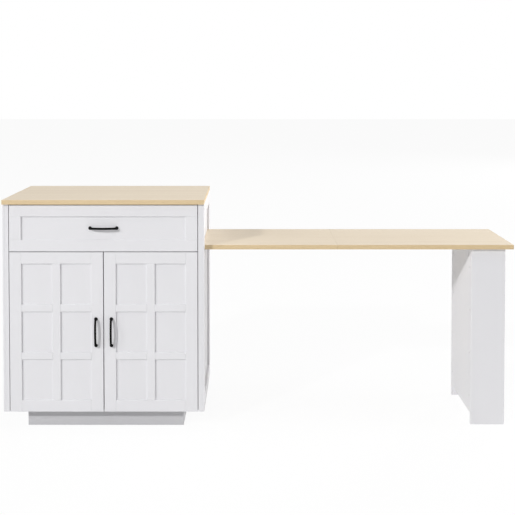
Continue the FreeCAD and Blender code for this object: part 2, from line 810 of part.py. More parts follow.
def leg_pieces():
    """The leg's front and rear boards, the panel between them and the fittings that join them."""
    right = leg_face + leg_width
    front = block(leg_face, right, leg_front, leg_front + leg_board, 0, leg_top)
    rear = block(leg_face, right, leg_back - leg_board, leg_back, 0, leg_top)
    inner_front = leg_front + leg_board
    inner_back = leg_back - leg_board
    panel = block(leg_face, leg_face + leg_board, inner_front, inner_back, leg_panel_lift, leg_top)
    fittings = []
    for face_y, inward in ((inner_front, 1), (inner_back, -1)):
        for z in spread(leg_cam_first, leg_top - leg_cam_last, leg_cam_count):
            cam_y = face_y + inward * leg_cam_distance
            cam_start = point(leg_face, cam_y, z)
            bolt_start = point(leg_face + leg_board / 2, face_y - inward * cam_bolt_depth, z)
            length = cam_bolt_depth + leg_cam_distance - leg_cam_radius - fit
            fittings.append(rod(leg_cam_radius, cam_start, ALONG_X, leg_cam_depth))
            fittings.append(rod(leg_cam_bolt_radius, bolt_start, ALONG_Y * inward, length))
            cam_hole = rod(leg_cam_radius + fit, cam_start, ALONG_X, leg_cam_depth + fit)
            bolt_hole = rod(leg_cam_bolt_radius + fit, bolt_start, ALONG_Y * inward, length + fit)
            panel = cut_all(panel, [cam_hole, bolt_hole])
            if inward > 0:
                front = front.cut(bolt_hole)
            else:
                rear = rear.cut(bolt_hole)
    return front, rear, panel, fittings


# ---- the whole object ---------------------------------------------------------------------------

def build_cabinet(nodes, leaf_hinge, left_hinges, right_hinges, runners):
    """Everything that stays with the cabinet."""
    worktop, strips = edged_board(0, cabinet_width, -worktop_overhang, side_depth, underside, True, True)
    down_screws, down_holes = rail_screws()
    nodes["worktop"] = [cut_all(worktop, down_holes)]
    nodes["worktop_edging"] = strips
    fittings, fitting_holes = cam_joints()
    shelf, pins, pin_holes = shelf_and_pins()
    nails, nail_holes = back_nails()
    side_holes = fitting_holes + pin_holes
    left_holes = side_holes + left_hinges["plate_holes"] + runners[0]["side_holes"]
    right_holes = side_holes + right_hinges["plate_holes"] + runners[1]["side_holes"]
    left_panel, left_frame = side_pieces(0, 1)
    right_panel, right_frame = side_pieces(cabinet_width, -1)
    nodes["left_side"] = [cut_all(left_panel, left_holes)]
    nodes["right_side"] = [cut_all(right_panel, right_holes + leaf_hinge["upright_holes"])]
    nodes["left_side_frame"] = left_frame
    nodes["right_side_frame"] = right_frame
    nodes["bottom_panel"] = [cut_all(carcass_board(plinth_height), fitting_holes + nail_holes)]
    nodes["divider"] = [cut_all(carcass_board(divider_base), fitting_holes + nail_holes)]
    nodes["top_rails"] = [cut_all(rail, down_holes + nail_holes) for rail in top_rails()]
    back_y = back_face + back_thickness
    back = block(inner_left, inner_right, back_face, back_y, plinth_height, underside)
    nodes["back_panel"] = [cut_all(back, nail_holes)]
    nodes["back_panel_nails"] = nails
    nodes["plinth"] = plinth()
    nodes["shelf"] = [shelf]
    nodes["shelf_pins"] = pins
    nodes["carcass_fittings"] = fittings
    nodes["carcass_screws"] = down_screws + left_hinges["plate_screws"] + right_hinges["plate_screws"]
    nodes["door_hinge_plates"] = left_hinges["plates"] + right_hinges["plates"]
    nodes["door_hinge_arms"] = left_hinges["arms"] + right_hinges["arms"]
    nodes["runner_cabinet_members"] = [runner["side_member"] for runner in runners]
    for runner in runners:
        nodes["carcass_screws"] += runner["side_screws"]
    nodes["leaf_hinge_wall_flaps"] = leaf_hinge["upright"]
    nodes["leaf_hinge_pins"] = leaf_hinge["pin"]


def build_door(nodes, name, hinge_x, toward, hinges):
    """One door with its handle, hinge cups and screws."""
    pieces = door(hinge_x, toward)
    centre = (hinge_x + toward * (door_width - handle_inset), (door_base + door_top) / 2)
    screws, holes = handle_screws(centre, ALONG_Z, 0, front_thickness)
    holes = holes + hinges["cup_holes"]
    nodes[name + "_stiles"] = [cut_all(stile, holes) for stile in pieces["stiles"]]
    nodes[name + "_rails"] = pieces["rails"]
    nodes[name + "_panel"] = pieces["panel"]
    nodes[name + "_bars"] = pieces["bars"]
    nodes[name + "_handle"] = [arched_handle(centre, ALONG_Z, 0)]
    nodes[name + "_hinge_cups"] = hinges["cups"]
    nodes[name + "_screws"] = screws + hinges["cup_screws"]


def build_drawer(nodes, runners):
    """The drawer with its handle and what moves with it of the runners."""
    rails, stiles, panel, handle_z = drawer_front()
    inner_front, sides, back, bottom, corner_screws = drawer_box()
    centre = (cabinet_width / 2, handle_z)
    screws, holes = handle_screws(centre, ALONG_X, panel_recess, front_thickness + box_front)
    runner_holes = runners[0]["box_holes"] + runners[1]["box_holes"]
    nodes["drawer_front_rails"] = rails
    nodes["drawer_front_stiles"] = stiles
    nodes["drawer_front_panel"] = [cut_all(panel, holes)]
    nodes["drawer_inner_front"] = [cut_all(inner_front, holes)]
    nodes["drawer_sides"] = [cut_all(side, runner_holes) for side in sides]
    nodes["drawer_back"] = [back]
    nodes["drawer_bottom"] = [bottom]
    nodes["drawer_handle"] = [arched_handle(centre, ALONG_X, panel_recess)]
    nodes["drawer_screws"] = screws + corner_screws
    for runner in runners:
        nodes["drawer_screws"] += runner["box_screws"]
    nodes["runner_middle_members"] = [runner["middle"] for runner in runners]
    nodes["runner_drawer_members"] = [runner["box_member"] for runner in runners]


def build_leaf(nodes, leaf_hinge, leg_hinge):
    """The two boards of the leaf with their edge strips and hinges."""
    seam_left = seam_axis_x - leaf_seam / 2
    seam_right = seam_axis_x + leaf_seam / 2
    inner, inner_strips = edged_board(leaf_left, seam_left, leaf_front, leaf_back, leaf_base, True, False)
    outer, outer_strips = edged_board(seam_right, leaf_right, leaf_front, leaf_back, leaf_base, False, True)
    inner_hinges, inner_pockets = seam_hinges(seam_left, -1)
    outer_hinges, outer_pockets = seam_hinges(seam_right, 1)
    nodes["inner_leaf"] = [cut_all(inner, inner_pockets + leaf_hinge["under_holes"])]
    nodes["inner_leaf_edging"] = inner_strips
    nodes["inner_seam_hinges"] = inner_hinges
    nodes["leaf_hinge_leaf_flaps"] = leaf_hinge["under"]
    nodes["outer_leaf"] = [cut_all(outer, outer_pockets + leg_hinge["under_holes"])]
    nodes["outer_leaf_edging"] = outer_strips
    nodes["outer_seam_hinges"] = outer_hinges
    nodes["leg_hinge_leaf_flaps"] = leg_hinge["under"]


def build_leg(nodes, leg_hinge):
    """The leg and its half of the hinges."""
    front, rear, panel, fittings = leg_pieces()
    nodes["leg_front_board"] = [front]
    nodes["leg_rear_board"] = [rear]
    nodes["leg_panel"] = [cut_all(panel, leg_hinge["upright_holes"])]
    nodes["leg_fittings"] = fittings
    nodes["leg_hinge_leg_flaps"] = leg_hinge["upright"]
    nodes["leg_hinge_pins"] = leg_hinge["pin"]


def build():
    """Every node as a list of its solids."""
    nodes = {}
    leaf_places = spread(leaf_front + leaf_hinge_inset, leaf_back - leaf_hinge_inset, leaf_hinge_count)
    leg_first = leg_front + leg_board + leg_hinge_inset
    leg_last = leg_back - leg_board - leg_hinge_inset
    leaf_hinge = fold_hinges(recess_face, 1, leaf_places)
    leg_hinge = fold_hinges(leg_face, -1, spread(leg_first, leg_last, leg_hinge_count))
    left_hinges = door_hinges(fronts_left, 1, inner_left)
    right_hinges = door_hinges(fronts_right, -1, inner_right)
    runners = [runner_pieces(inner_left, 1), runner_pieces(inner_right, -1)]
    build_cabinet(nodes, leaf_hinge, left_hinges, right_hinges, runners)
    build_door(nodes, "left_door", fronts_left, 1, left_hinges)
    build_door(nodes, "right_door", fronts_right, -1, right_hinges)
    build_drawer(nodes, runners)
    build_leaf(nodes, leaf_hinge, leg_hinge)
    build_leg(nodes, leg_hinge)
    return nodes


def export(nodes):
    """Write each node to its own file, moved so that the origin is at the object's middle."""
    os.makedirs("parts", exist_ok=True)
    for name, solids in nodes.items():
        shape = solids[0] if len(solids) == 1 else Part.makeCompound(solids)
        shape = shape.copy()
        shape.translate(origin_shift)
        shape.exportStep("parts/" + name + ".step")


if __name__ == "__main__":
    export(build())
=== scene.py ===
"""The looks of a drop leaf kitchen island: finishes, boards, handles, hardware and the studio."""

import json
import math

import bmesh
import bpy
import numpy as np
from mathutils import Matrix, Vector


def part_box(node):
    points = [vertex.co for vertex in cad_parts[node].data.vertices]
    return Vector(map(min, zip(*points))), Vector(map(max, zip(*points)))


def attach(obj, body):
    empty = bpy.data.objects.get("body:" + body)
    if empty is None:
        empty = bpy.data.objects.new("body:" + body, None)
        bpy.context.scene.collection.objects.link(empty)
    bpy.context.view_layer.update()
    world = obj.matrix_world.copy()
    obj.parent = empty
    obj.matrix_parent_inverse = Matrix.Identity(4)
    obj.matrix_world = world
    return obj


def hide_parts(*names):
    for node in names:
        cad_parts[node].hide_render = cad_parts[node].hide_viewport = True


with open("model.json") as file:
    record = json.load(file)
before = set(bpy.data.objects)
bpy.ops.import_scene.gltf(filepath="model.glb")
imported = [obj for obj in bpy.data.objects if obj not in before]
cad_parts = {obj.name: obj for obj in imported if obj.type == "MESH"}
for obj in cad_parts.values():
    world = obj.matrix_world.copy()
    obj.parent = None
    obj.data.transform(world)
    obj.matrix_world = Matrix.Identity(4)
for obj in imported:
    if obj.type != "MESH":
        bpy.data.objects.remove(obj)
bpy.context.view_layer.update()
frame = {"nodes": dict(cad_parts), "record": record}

MM = 0.001

# ---- dimensions, in metres ------------------------------------------------------------------------

same_place = 0.001 * MM         # points nearer than this are one
same_radius = 0.01 * MM         # radii that differ by less are one

board_ease = 1.2 * MM           # rounding of the lacquered boards' edges
strip_ease = 0.42 * MM          # rounding of the 1 mm edge strips
ease_steps = 3                  # rows of faces round each rounding

handle_bar_radius = 4.4 * MM
handle_foot_radius = 7.0 * MM
handle_foot_rim = 1.2 * MM      # straight edge of the foot, before it tapers
handle_flare = 11.0 * MM        # length over which the foot tapers into the bar
handle_flare_power = 2.5        # how hollow that taper is
handle_bend_radius = 8.0 * MM
handle_bow_angle = math.radians(14)
handle_rings = 220
handle_sides = 32

screw_wing_angles = (-17, -10, 10, 17, 45)      # round a head, in each quarter turn, in degrees
screw_wing_width = 12           # angles within it lie in the recess
screw_point = (0.35, 0.9)       # its end radius and its length, in shank radii
screw_dome = 0.22               # depth of the head's rounded edge, in head radii
cam_dome = 0.06
head_rounding = ((1.0, 1.0), (0.955, 0.35), (0.86, 0.0))    # shares of the radius and of that depth
recess_depth = 0.42             # in head radii
recess_rings = (                # share of the radius, and of the depth in the wings and between them
    (0.66, 0.0, 0.0),
    (0.60, 0.55, 0.0),
    (0.24, 1.0, 0.0),
    (0.08, 1.1, 1.1),
)
sharp_angle = 35                # edges that turn by more stay sharp, in degrees

pin_nose = 0.4                  # length of a shelf pin's nose, in radii
pin_nose_start = 0.15           # first angle of the nose's quarter turn, in radians
pin_nose_rings = 5
pin_sides = 28

cup_sides = 72
cup_pole = 0.02                 # radius of the rings that close the cup, in cup radii
cup_wall = 2.0 * MM
cup_floor_rounding = 3.5 * MM
cup_floor_rings = 5
cup_back_bevel = 1.5 * MM
cup_mouth_bevel = 0.8 * MM
cup_ear_half_width = 7.0 * MM
cup_least_cosine = 1e-9         # in place of zero, where an angle runs along an ear
cup_flange_bevel = 0.4 * MM
cup_flange_bevel_start = 0.35   # down the flange's thickness

hinge_sheet = 1.6 * MM          # pressed sheet of the hinge arms
hinge_ease = 0.45 * MM
hinge_neck_ease = 1.125 * MM
plate_ease = 1.1 * MM
plate_shoulder = 0.35           # how far the plate's wings draw in, in plate thicknesses
plate_lap = 0.1                 # how far body and wings reach into each other, in wing lengths
adjuster_radius = 3.2 * MM      # adjusting screws on the hinge arms
adjuster_height = 0.9 * MM
adjuster_depth = 4.0 * MM
adjuster_end = (0.6, 0.4 * MM)  # lower end: its share of the radius, and the length of its taper
adjuster_edge = (0.88, 0.3 * MM)
adjuster_recess = 0.45          # in radii
adjuster_places = (0.38, 0.78)  # along the arm, from its front

runner_sheet = 1.2 * MM
runner_corner = 2.6 * MM        # outer radius of the rolled corners
runner_corner_steps = 6
runner_sharp_angle = 20
ball_radius = 1.6 * MM
ball_pitch = 9.0 * MM
ball_row = 0.20                 # length of each row of balls
ball_inset = 5.0 * MM           # first ball from the member's end
ball_pole = 0.06                # first angle from the ball's pole, in radians
ball_rings = 7
ball_sides = 10
ball_sharp_angle = 60
cage_sheet = 0.6 * MM
cage_width = 4.2 * MM
cage_ease = 0.2 * MM

# ---- camera and studio ----------------------------------------------------------------------------

picture_side = 515              # pixels, both ways
focal_pixels = 932.16
optical_axis_pixel = (252.16, 111.64)
camera_pitch = math.radians(1.89)
camera_from_corner = (0.9903, -3.67514, 1.39024)    # from the worktop's left, the doors' face and the floor
sensor_width = 36.0             # in millimetres, as a camera gives it

lacquer_level = 0.81            # how pale each white is
# the plinth's white is set darker: painted shade of the cabinet that overhangs it
plinth_painted_shade_level = 0.60
hardware_level = 0.78

white_level = 1.0
ambient_level = 0.24
floor_half = 30.0               # from the middle to the edge
floor_tone = 0.80
floor_glow = 1.016              # with the light that it scatters, the open floor is just white
floor_glow_share = 0.92         # the rest of what is seen keeps the object's shadow
lamps = (                       # name, place, target, width, height, power in watts
    ("key", (-7.7, -9.6, 6.8), (0.0, 0.0, 0.5), 0.6, 0.6, 885.0),
    ("left_fill", (-9.2, -5.7, 5.0), (0.3, 0.0, 0.5), 1.3, 1.3, 165.0),
    ("right_fill", (13.0, 0.5, 3.5), (0.0, 0.0, 0.5), 4.8, 4.8, 900.0),
    ("back_fill", (7.5, 10.5, 4.0), (0.0, 0.0, 0.5), 3.0, 3.0, 380.0),
    ("overhead", (1.6, -0.6, 4.2), (1.2, 0.0, 0.8), 3.0, 2.0, 48.0),
)


# ---- shader maths ---------------------------------------------------------------------------------

mix_factor, mix_first, mix_second = 0, 6, 7     # numbers of the mix node's sockets for colours
mix_result = 2


class Value:
    """A node's output socket, so that shader maths on numbers reads as an ordinary expression."""

    def __init__(self, nodes, socket):
        self.nodes = nodes
        self.socket = socket

    def _math(self, operation, first, second):
        return self.nodes.add("ShaderNodeMath", {"operation": operation}, {0: first, 1: second})

    def __add__(self, other):
        return self._math("ADD", self, other)

    def __sub__(self, other):
        return self._math("SUBTRACT", self, other)

    def __rsub__(self, other):
        return self._math("SUBTRACT", other, self)

    def __mul__(self, other):
        return self._math("MULTIPLY", self, other)

    __radd__ = __add__
    __rmul__ = __mul__


class Nodes:
    """The nodes of a material or of the world."""

    def __init__(self, tree):
        self.tree = tree

    def add(self, kind, settings, inputs, output=0):
        """Add any node: its settings first, then the values or links of its sockets."""
        node = self.tree.nodes.new(kind)
        for label, value in settings.items():
            setattr(node, label, value)
        for key, value in inputs.items():
            if isinstance(value, Value):
                self.tree.links.new(value.socket, node.inputs[key])
            else:
                node.inputs[key].default_value = value
        return Value(self, node.outputs[output])

    def remap(self, value, low, high, to_low, to_high):
        """Map a span of a value to another span, and clamp it there."""
        inputs = {"Value": value, "From Min": low, "From Max": high, "To Min": to_low, "To Max": to_high}
        return self.add("ShaderNodeMapRange", {}, inputs)

    def looked_at(self):
        """One where the camera, a reflection or glass looks, and zero for the light that is cast."""
        camera_ray, glossy_ray, transmission_ray = (
            self.add("ShaderNodeLightPath", {}, {}, label)
            for label in ("Is Camera Ray", "Is Glossy Ray", "Is Transmission Ray")
        )
        return camera_ray + glossy_ray + transmission_ray


class Shader(Nodes):
    """A material's nodes round one Principled surface."""

    def __init__(self, name, **constants):
        self.material = bpy.data.materials.new(name)
        self.material.use_nodes = True
        super().__init__(self.material.node_tree)
        self.surface = self.tree.nodes["Principled BSDF"]
        for label, value in constants.items():
            self.surface.inputs[label.replace("_", " ")].default_value = value
        self.place = self.add("ShaderNodeTexCoord", {}, {}, "Object")

    def feed(self, label, value):
        """Link a value to a socket of the surface."""
        self.tree.links.new(value.socket, self.surface.inputs[label])

    def stretched(self, scale):
        """Object coordinates with each axis scaled."""
        return self.add("ShaderNodeVectorMath", {"operation": "MULTIPLY"}, {0: self.place, 1: scale})

    def noise(self, scale, detail=2.0, roughness=0.5, vector=None):
        """Fractal noise between about 0.3 and 0.7, with features per metre set by its scale."""
        inputs = {"Vector": vector or self.place, "Scale": scale, "Detail": detail, "Roughness": roughness}
        return self.add("ShaderNodeTexNoise", {}, inputs)

    def mix(self, factor, first, second):
        """Mix two colours, given as values or as links, on the mix node's sockets for colours."""
        inputs = {mix_factor: factor, mix_first: first, mix_second: second}
        return self.add("ShaderNodeMix", {"data_type": "RGBA"}, inputs, mix_result)

    def bump(self, height, distance):
        """Feed a height, in units of a distance in metres, to the surface's normal."""
        self.feed("Normal", self.add("ShaderNodeBump", {}, {"Height": height, "Distance": distance}))


def colour(red, green, blue):
    """An opaque linear colour."""
    return (red, green, blue, 1.0)


# ---- finishes -------------------------------------------------------------------------------------

def white_lacquer(name, level):
    """Satin white lacquer: a faint orange peel, and a cool tone that drifts a little round its level."""
    shader = Shader(name)
    drift = shader.noise(2.5, 3.0)
    speck = shader.noise(900.0, 2.0)
    tone = shader.remap(drift * 0.8 + speck * 0.2, 0.35, 0.65, 0.0, 1.0)
    deep = colour(*(level * share for share in (0.985, 0.980, 1.008)))
    pale = colour(*(level * share for share in (1.008, 1.003, 1.030)))
    shader.feed("Base Color", shader.mix(tone, deep, pale))
    shader.feed("Roughness", shader.remap(shader.noise(60.0, 3.0), 0.3, 0.7, 0.34, 0.46))
    shader.bump(shader.noise(420.0, 2.0) + shader.noise(1500.0, 1.0) * 0.35, 0.06 * MM)
    return shader.material


def white_melamine():
    """White melamine film on chipboard, with its fine pearl texture."""
    shader = Shader("white_melamine")
    drift = shader.noise(4.0, 2.0)
    tone = shader.remap(drift, 0.35, 0.65, 0.0, 1.0)
    shader.feed("Base Color", shader.mix(tone, colour(0.785, 0.785, 0.790), colour(0.805, 0.805, 0.808)))
    shader.feed("Roughness", shader.remap(shader.noise(150.0, 2.0), 0.3, 0.7, 0.42, 0.55))
    shader.bump(shader.noise(1300.0, 3.0, 0.6), 0.08 * MM)
    return shader.material


def oak(name, pale, deep, pore, roughness):
    """Printed oak with its grain along X: broad bands, fine streaks and short dark pores."""
    shader = Shader(name)
    sway = shader.noise(3.0, 2.0, 0.5, shader.stretched((0.35, 2.0, 2.0)))
    bands = shader.noise(30.0, 3.0, 0.55, shader.stretched((0.035, 1.0, 1.0)))
    streaks = shader.noise(420.0, 3.0, 0.6, shader.stretched((0.02, 1.0, 1.0)))
    pores = shader.noise(1500.0, 1.0, 0.5, shader.stretched((0.022, 1.0, 1.0)))
    figure = shader.remap(bands * 0.5 + streaks * 0.35 + sway * 0.15, 0.38, 0.62, 0.0, 1.0)
    pore_mask = shader.remap(pores, 0.62, 0.72, 0.0, 0.55)
    wood = shader.mix(figure, deep, pale)
    shader.feed("Base Color", shader.mix(pore_mask, wood, pore))
    shader.feed("Roughness", shader.remap(streaks, 0.3, 0.7, roughness, roughness + 0.12))
    shader.bump(streaks * 0.5 - pore_mask, 0.05 * MM)
    return shader.material


def black_powder_coat():
    """Satin black powder coat, with the fine texture of the melted powder."""
    shader = Shader("black_metal", Specular_IOR_Level=0.05)
    grain = shader.noise(1100.0, 3.0, 0.6)
    tone = shader.remap(grain, 0.35, 0.65, 0.0, 1.0)
    shader.feed("Base Color", shader.mix(tone, colour(0.002, 0.002, 0.002), colour(0.005, 0.005, 0.005)))
    shader.feed("Roughness", shader.remap(shader.noise(500.0, 2.0), 0.3, 0.7, 0.46, 0.62))
    shader.bump(grain, 0.08 * MM)
    return shader.material


def plated_steel():
    """Zinc or nickel plate, with fine rolling streaks and a slightly uneven tone."""
    shader = Shader("plated_steel", Metallic=1.0)
    streaks = shader.noise(900.0, 2.0, 0.5, shader.stretched((1.0, 0.06, 1.0)))
    patches = shader.noise(35.0, 3.0)
    tone = shader.remap(streaks * 0.6 + patches * 0.4, 0.35, 0.65, 0.0, 1.0)
    shader.feed("Base Color", shader.mix(tone, colour(0.56, 0.56, 0.57), colour(0.68, 0.68, 0.68)))
    shader.feed("Roughness", shader.remap(streaks, 0.3, 0.7, 0.26, 0.42))
    shader.bump(streaks, 0.02 * MM)
    return shader.material


finishes = {
    "white_lacquer": white_lacquer("white_lacquer", lacquer_level),
    "white_melamine": white_melamine(),
    "light_oak": oak("light_oak", colour(0.800, 0.692, 0.540), colour(0.745, 0.632, 0.480),
                     colour(0.60, 0.46, 0.30), 0.46),
    "oak_edging": oak("oak_edging", colour(0.755, 0.590, 0.360), colour(0.690, 0.525, 0.305),
                      colour(0.52, 0.37, 0.19), 0.44),
    "black_metal": black_powder_coat(),
    "white_hardware": white_lacquer("white_hardware", hardware_level),
    "plated_steel": plated_steel(),
}

node_slot = {entry["node"]: entry["material_slot"] for entry in frame["record"]["subparts"]}
node_body = {
    node: body
    for body, members in frame["record"]["behaviour"]["bodies"].items()
    for node in members
}

for node_name, node in frame["nodes"].items():
    node.data.materials.clear()
    node.data.materials.append(finishes[node_slot[node_name]])


# ---- meshes ---------------------------------------------------------------------------------------

def mesh_object(name, points, faces, smooth):
    """A new object from an array of points, a list of faces and whether each face is smooth."""
    mesh = bpy.data.meshes.new(name)
    mesh.from_pydata(points.tolist(), [], faces)
    mesh.polygons.foreach_set("use_smooth", np.asarray(smooth, bool))
    mesh.update()
    piece = bpy.data.objects.new(name, mesh)
    bpy.context.scene.collection.objects.link(piece)
    return piece


def dress(piece, node):
    """Give a piece the finish and the body of the node that it replaces."""
    slot_name = node_slot[node]
    piece.data.materials.append(finishes[slot_name])
    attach(piece, node_body[node])
    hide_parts(node)
    return piece


def distinct(places):
    """The different values among coordinates, to a micrometre, from the lowest to the highest."""
    return np.unique(places.round(6))


def node_points(node):
    """The points of a CAD node's mesh."""
    mesh = frame["nodes"][node].data
    places = np.empty(len(mesh.vertices) * 3, np.float32)
    mesh.vertices.foreach_get("co", places)
    return places.reshape(-1, 3).astype(float)


def levels(node, axis):
    """The different coordinates of a node's points along one axis, from the lowest to the highest."""
    return distinct(node_points(node)[:, axis])


def separate_solids(node):
    """The points of each solid of a node, for solids that share no point.

    Points that fall on each other are one, and the three of a triangle belong together: each takes
    the lowest number of its triangles, again and again, until no number changes.
    """
    mesh = frame["nodes"][node].data
    corners = np.empty(len(mesh.loops), np.int32)
    mesh.loops.foreach_get("vertex_index", corners)
    points, same = np.unique(node_points(node).round(6), axis=0, return_inverse=True)
    triangles = same.reshape(-1)[corners].reshape(-1, 3)
    group = np.arange(len(points))
    while True:
        lowest = np.repeat(group[triangles].min(1), 3)
        joined = group.copy()
        np.minimum.at(joined, triangles.ravel(), lowest)
        if (joined == group).all():
            return [points[group == number] for number in np.unique(group)]
        group = joined


def rounded_box(low, high, ease, steps):
    """A box with rounded edges: a ball of the edge radius, cut in eight and drawn apart to the corners.

    The two parameters are latitude and longitude. Each quarter turn has its own rows, and the jump
    between two quarters spans a flat face. The first and the last ring close as flat faces.
    """
    centre = (low + high) / 2
    reach = (high - low) / 2 - ease
    quarter = np.linspace(0, np.pi / 2, steps + 1)
    latitude = np.concatenate([quarter - np.pi / 2, quarter])
    rise = np.repeat([-1.0, 1.0], steps + 1)
    longitude = np.concatenate([quarter + turn * np.pi / 2 for turn in range(4)])
    right = np.repeat([1.0, -1.0, -1.0, 1.0], steps + 1)
    back = np.repeat([1.0, 1.0, -1.0, -1.0], steps + 1)
    flat = np.cos(latitude)[:, None]
    x = right * reach[0] + ease * flat * np.cos(longitude)
    y = back * reach[1] + ease * flat * np.sin(longitude)
    z = np.broadcast_to((rise * reach[2] + ease * np.sin(latitude))[:, None], x.shape)
    return np.stack([x, y, z], -1) + centre


def closed_grid(points, start):
    """Faces of a grid of rings that close round, and the two rings at its ends as flat faces."""
    rings, sides = points.shape[:2]
    index = start + np.arange(rings * sides).reshape(rings, sides)
    across = np.roll(index, -1, axis=1)
    quads = np.stack([index[:-1], across[:-1], across[1:], index[1:]], -1).reshape(-1, 4)
    return quads.tolist(), index[0][::-1].tolist(), index[-1].tolist()


def eased_boards(name, boxes, ease):
    """One mesh of boards with rounded edges, their flat faces flat and their roundings smooth."""
    points = []
    faces = []
    smooth = []
    start = 0
    for low, high in boxes:
        grid = rounded_box(np.asarray(low, float), np.asarray(high, float), ease, ease_steps)
        quads, first, last = closed_grid(grid, start)
        ring_step = ease_steps + 1
        row = np.arange(grid.shape[0] - 1)[:, None]
        column = np.arange(grid.shape[1])[None, :]
        is_side = row == ease_steps
        is_flat = is_side & (column % ring_step == ease_steps)
        faces += quads + [first, last]
        smooth += (~is_flat).ravel().tolist() + [False, False]
        points.append(grid.reshape(-1, 3))
        start += grid.shape[0] * grid.shape[1]
    piece = mesh_object(name, np.concatenate(points), faces, smooth)
    merge_points(piece)
    return piece


def merge_points(piece):
    """Merge the points that fall on each other, which also drops the faces they close up."""
    work = bmesh.new()
    work.from_mesh(piece.data)
    bmesh.ops.remove_doubles(work, verts=work.verts, dist=same_place)
    work.to_mesh(piece.data)
    work.free()


# ---- boards with eased edges ----------------------------------------------------------------------

def side_frame_boards(node):
    """The two stiles of a side's frame, full height, and the rails between them."""
    x0, x1 = levels(node, 0)
    y0, y1, y2, y3 = levels(node, 1)
    z0, z1, z2, z3 = levels(node, 2)
    return [
        ((x0, y0, z0), (x1, y1, z3)),
        ((x0, y2, z0), (x1, y3, z3)),
        ((x0, y1, z2), (x1, y2, z3)),
        ((x0, y1, z0), (x1, y2, z1)),
    ]


def plinth_boards(node):
    """The plinth's front and back, its ends between them, and the blocks in its corners."""
    x = levels(node, 0)
    y = levels(node, 1)
    z0, z1 = levels(node, 2)
    boards = [
        ((x[0], y[0], z0), (x[-1], y[1], z1)),
        ((x[0], y[-2], z0), (x[-1], y[-1], z1)),
        ((x[0], y[1], z0), (x[1], y[-2], z1)),
        ((x[-2], y[1], z0), (x[-1], y[-2], z1)),
    ]
    for left in (1, -3):
        for front in (1, -3):
            boards.append(((x[left], y[front], z0), (x[left + 1], y[front + 1], z1)))
    return boards


def edge_strips(board, edging):
    """The strips round a laminated board: front and rear over the full length, the ends between."""
    low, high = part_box(edging)
    core_low, core_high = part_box(board)
    strips = [
        ((low.x, low.y, low.z), (high.x, core_low.y, high.z)),
        ((low.x, core_high.y, low.z), (high.x, high.y, high.z)),
    ]
    if core_low.x > low.x:
        strips.append(((low.x, core_low.y, low.z), (core_low.x, core_high.y, high.z)))
    if core_high.x < high.x:
        strips.append(((core_high.x, core_low.y, low.z), (high.x, core_high.y, high.z)))
    return strips


for side in ("left_side_frame", "right_side_frame"):
    dress(eased_boards(side + "_boards", side_frame_boards(side), board_ease), side)
plinth_piece = dress(eased_boards("plinth_boards", plinth_boards("plinth"), board_ease), "plinth")
# a darker copy of the lacquer on the plinth: painted shade under the cabinet's overhang
plinth_piece.data.materials[0] = white_lacquer("plinth_lacquer_painted_shade", plinth_painted_shade_level)
for node in ("leg_front_board", "leg_rear_board", "shelf"):
    dress(eased_boards(node + "_eased", [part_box(node)], board_ease), node)
for board in ("worktop", "inner_leaf", "outer_leaf"):
    edging = board + "_edging"
    dress(eased_boards(board + "_strips", edge_strips(board, edging), strip_ease), edging)


# ---- handles --------------------------------------------------------------------------------------

def handle_path(half, crest):
    """The centre line of an arched handle: run along it and height out from its surface.

    The heading turns from straight out to the bow's angle over the bend, then evenly to the same
    angle downwards over the arch, and back. The path is the running sum of the heading's steps.
    """
    bow = handle_bow_angle
    bend = handle_bend_radius
    arch_radius = (half - bend * (1 - math.sin(bow))) / math.sin(bow)
    shoulder = crest - arch_radius * (1 - math.cos(bow))
    rise = shoulder - bend * math.cos(bow)
    bend_length = bend * (math.pi / 2 - bow)
    arch_length = 2 * arch_radius * bow
    stations = np.cumsum([0, rise, bend_length, arch_length, bend_length, rise])
    headings = np.array([math.pi / 2, math.pi / 2, bow, -bow, -math.pi / 2, -math.pi / 2])
    travel = np.linspace(0, stations[-1], handle_rings)
    heading = np.interp(travel, stations, headings)
    middle = (heading[1:] + heading[:-1]) / 2
    step = np.diff(travel)
    run = np.concatenate([[0], np.cumsum(step * np.cos(middle))])
    out = np.concatenate([[0], np.cumsum(step * np.sin(middle))])
    return travel, run - run[-1] / 2, out, heading


def handle_radius(travel):
    """The bar's radius along the path: a short straight rim at each foot, then a hollow taper."""
    from_end = np.minimum(travel, travel[-1] - travel)
    taper = np.clip((from_end - handle_foot_rim) / handle_flare, 0, 1)
    return handle_bar_radius + (handle_foot_radius - handle_bar_radius) * (1 - taper) ** handle_flare_power


def arched_handle(name, node, along):
    """A handle's surface: a circle of changing radius carried square to the arched centre line."""
    low, high = (np.array(corner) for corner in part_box(node))
    middle = (low + high) / 2
    surface = high[1]
    half = (high - low)[along] / 2 - handle_foot_radius
    travel, run, out, heading = handle_path(half, high[1] - low[1] - handle_bar_radius)
    radius = handle_radius(travel)
    turn = np.linspace(0, 2 * np.pi, handle_sides, endpoint=False)
    in_plane = radius[:, None] * np.cos(turn)
    sideways = radius[:, None] * np.sin(turn)
    along_run = run[:, None] - in_plane * np.sin(heading)[:, None]
    outward = out[:, None] + in_plane * np.cos(heading)[:, None]
    points = np.empty(along_run.shape + (3,))
    across = 2 if along == 0 else 0
    points[..., along] = middle[along] + along_run
    points[..., across] = middle[across] + sideways
    points[..., 1] = surface - outward
    if along == 0:
        points = points[:, ::-1]
    quads, first, last = closed_grid(points, 0)
    smooth = [True] * len(quads) + [False, False]
    return mesh_object(name, points.reshape(-1, 3), quads + [first, last], smooth)


for node, along in (("left_door_handle", 2), ("right_door_handle", 2), ("drawer_handle", 0)):
    dress(arched_handle(node + "_pull", node, along), node)


# ---- turned pieces: screws, cams, bolts, pins and balls -------------------------------------------

def turned(profile, sides):
    """A profile of (radius, height) turned about the Z axis, in even steps."""
    turn = np.linspace(0, 2 * np.pi, sides, endpoint=False)
    radius, height = (np.array(column)[:, None] for column in zip(*profile))
    return np.stack([radius * np.cos(turn), radius * np.sin(turn), height + 0 * turn], -1)


